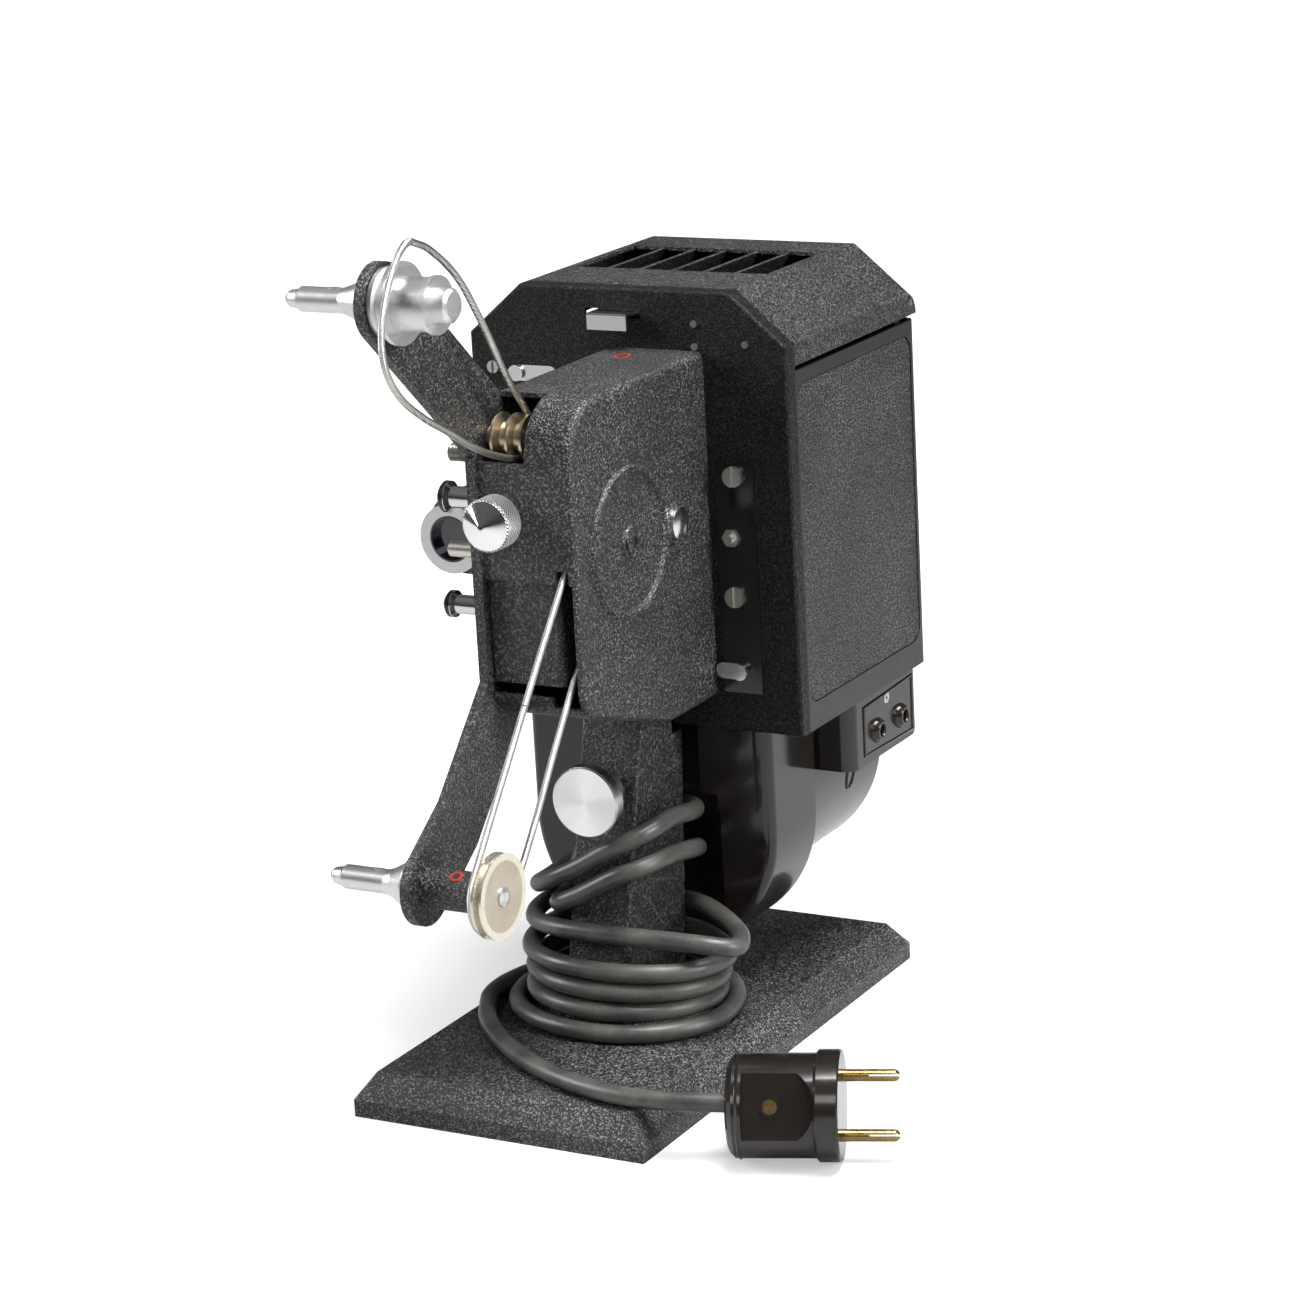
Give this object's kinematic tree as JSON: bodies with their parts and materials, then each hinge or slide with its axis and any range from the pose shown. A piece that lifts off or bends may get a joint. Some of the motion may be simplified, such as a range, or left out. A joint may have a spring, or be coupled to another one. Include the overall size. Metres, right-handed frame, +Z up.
{
  "type": "movie projector",
  "caption": "Table projector for narrow film: lamphouse, motor and drive on a tilting column stand, with lens, reel arms and a coiled mains cord.",
  "frame": {"origin": "middle of the base plate's underside", "axes": "+Z up, -Y the way the lens looks, +X the drive side; the reel spindles point along -X"},
  "size_m": [0.1919, 0.2619, 0.3027],
  "materials": {
    "crinkle_black": "black crinkle paint",
    "satin_grey": "satin grey paint",
    "inner_steel": "plain sheet and bar",
    "spun_aluminium": "spun bright",
    "nickel": "worn nickel",
    "knob_chrome": "polished, knurled",
    "brass": "old brass with worn nickel",
    "black_sheet": "matt black",
    "lens_black": "black anodised with glass elements",
    "condenser_metal": "plain tube with glass elements",
    "mirror": "silvered dish",
    "bulb_glass": "clear glass with a metal cap",
    "socket_ceramic": "plain",
    "black_resin": "glossy moulded resin",
    "cord_rubber": "aged dark grey rubber",
    "spring_belt": "close wound spring wire"
  },
  "bodies": {
    "stand": {"base_plate": "crinkle_black", "pedestal_column": "crinkle_black", "column_screws": "inner_steel", "tilt_pin": "inner_steel", "cord_gland": "inner_steel", "cord_coil": "cord_rubber", "cord_lead": "cord_rubber", "plug_body": "black_resin", "plug_contacts": "brass"},
    "tilt_knob_body": {"tilt_knob": "spun_aluminium", "tilt_screw": "inner_steel"},
    "head": {"frame_plate": "crinkle_black", "upper_arm": "crinkle_black", "lower_arm": "satin_grey", "arm_screws": "nickel", "drive_cover": "crinkle_black", "belt_box": "crinkle_black", "head_floor": "crinkle_black", "tilt_lever": "inner_steel", "house_front": "crinkle_black", "house_wrap": "crinkle_black", "house_floor": "inner_steel", "side_panels": "crinkle_black", "hinge_pin": "inner_steel", "strip_plate": "black_sheet", "panel_screws": "nickel", "lens_holder": "black_sheet", "gate_block": "black_sheet", "condenser": "condenser_metal", "lamp": "bulb_glass", "lamp_socket": "socket_ceramic", "reflector": "mirror", "motor_front_shell": "black_resin", "motor_rear_shell": "black_resin", "motor_stator": "inner_steel", "inlet_block": "black_resin", "upper_belt": "spring_belt", "lower_belt": "spring_belt", "inner_belts": "spring_belt", "bearing_blocks": "inner_steel", "film_guides": "nickel"},
    "lid": {"lamphouse_lid": "crinkle_black"},
    "latch": {"lid_latch": "nickel"},
    "main_shaft_body": {"main_shaft": "inner_steel"},
    "twin_pulley_body": {"twin_pulley": "brass"},
    "shutter_body": {"shutter_shaft": "inner_steel", "inching_knob": "knob_chrome", "shutter_disc": "black_sheet"},
    "rotor_body": {"motor_rotor": "inner_steel"},
    "upper_spindle_body": {"upper_spindle": "nickel"},
    "lower_spindle_body": {"lower_spindle": "nickel", "reel_pulley": "nickel"},
    "upper_roller_body": {"upper_roller": "nickel"},
    "lower_roller_body": {"lower_roller": "nickel"},
    "lens_body": {"lens_barrel": "lens_black"},
    "press_body": {"pressure_plate": "nickel"},
    "claw_body": {"claw": "nickel"},
    "clutch_body": {"clutch_lever": "nickel"},
    "top_lever_body": {"top_lever": "nickel"},
    "button_body": {"push_button": "spun_aluminium"}
  },
  "joints": [
    {"name": "head_tilt", "type": "hinge", "parent": "stand", "child": "head", "pos_m": [0, 0.001, 0.131], "axis": [-1, 0, 0], "range_deg": [-1.5, 2]},
    {"name": "tilt_knob_turn", "type": "hinge", "parent": "stand", "child": "tilt_knob_body", "pos_m": [0, -0.03, 0.0945], "axis": [0, 1, 0], "range_deg": [-114, 152]},
    {"name": "lid_open", "type": "hinge", "parent": "head", "child": "lid", "pos_m": [0, 0.1102, 0.2409], "axis": [-1, 0, 0], "range_deg": [0, 90]},
    {"name": "latch_press", "type": "slide", "parent": "head", "child": "latch", "axis": [0, 0, -1], "range_m": [0, 0.0012], "stiffness_N_per_m": 200},
    {"name": "motor_turn", "type": "hinge", "parent": "head", "child": "rotor_body", "pos_m": [-0.0045, 0.036, 0.07], "axis": [0, 1, 0], "continuous": true},
    {"name": "shutter_turn", "type": "hinge", "parent": "head", "child": "shutter_body", "pos_m": [0.0032, 0.036, 0.204], "axis": [0, 1, 0], "continuous": true},
    {"name": "main_shaft_turn", "type": "hinge", "parent": "head", "child": "main_shaft_body", "pos_m": [0, -0.057, 0.19], "axis": [1, 0, 0], "continuous": true},
    {"name": "twin_pulley_turn", "type": "hinge", "parent": "head", "child": "twin_pulley_body", "pos_m": [0, -0.068, 0.2285], "axis": [1, 0, 0], "continuous": true},
    {"name": "lower_spindle_turn", "type": "hinge", "parent": "head", "child": "lower_spindle_body", "pos_m": [0, -0.1226, 0.0938], "axis": [1, 0, 0], "continuous": true},
    {"name": "upper_spindle_turn", "type": "hinge", "parent": "head", "child": "upper_spindle_body", "pos_m": [0, -0.1241, 0.2819], "axis": [1, 0, 0], "continuous": true},
    {"name": "upper_roller_turn", "type": "hinge", "parent": "head", "child": "upper_roller_body", "pos_m": [-0.017, -0.0655, 0.2066], "axis": [1, 0, 0], "continuous": true},
    {"name": "lower_roller_turn", "type": "hinge", "parent": "head", "child": "lower_roller_body", "pos_m": [-0.017, -0.0666, 0.1709], "axis": [1, 0, 0], "continuous": true},
    {"name": "lens_focus", "type": "slide", "parent": "head", "child": "lens_body", "axis": [0, -1, 0], "range_m": [-0.004, 0.003]},
    {"name": "gate_open", "type": "slide", "parent": "head", "child": "press_body", "axis": [0, -1, 0], "range_m": [0, 0.003], "stiffness_N_per_m": 200},
    {"name": "claw_pull", "type": "slide", "parent": "head", "child": "claw_body", "axis": [0, 0, 1], "range_m": [0, 0.0038]},
    {"name": "clutch_swing", "type": "hinge", "parent": "head", "child": "clutch_body", "pos_m": [0.0395, 0.0126, 0.1323], "axis": [0, 1, 0], "range_deg": [-15, 15]},
    {"name": "top_lever_swing", "type": "hinge", "parent": "head", "child": "top_lever_body", "pos_m": [-0.042, 0.0126, 0.231], "axis": [0, 1, 0], "range_deg": [-15, 15]},
    {"name": "button_press", "type": "slide", "parent": "head", "child": "button_body", "axis": [-1, 0, 0], "range_m": [0, 0.003], "stiffness_N_per_m": 200}
  ],
  "couplings": [
    {"joint": "tilt_knob_turn", "follows": "head_tilt", "ratio": 76},
    {"joint": "shutter_turn", "follows": "motor_turn", "ratio": 0.51691},
    {"joint": "main_shaft_turn", "follows": "motor_turn", "ratio": 0.025845},
    {"joint": "twin_pulley_turn", "follows": "motor_turn", "ratio": 0.039691},
    {"joint": "lower_spindle_turn", "follows": "motor_turn", "ratio": 0.027257}
  ]
}
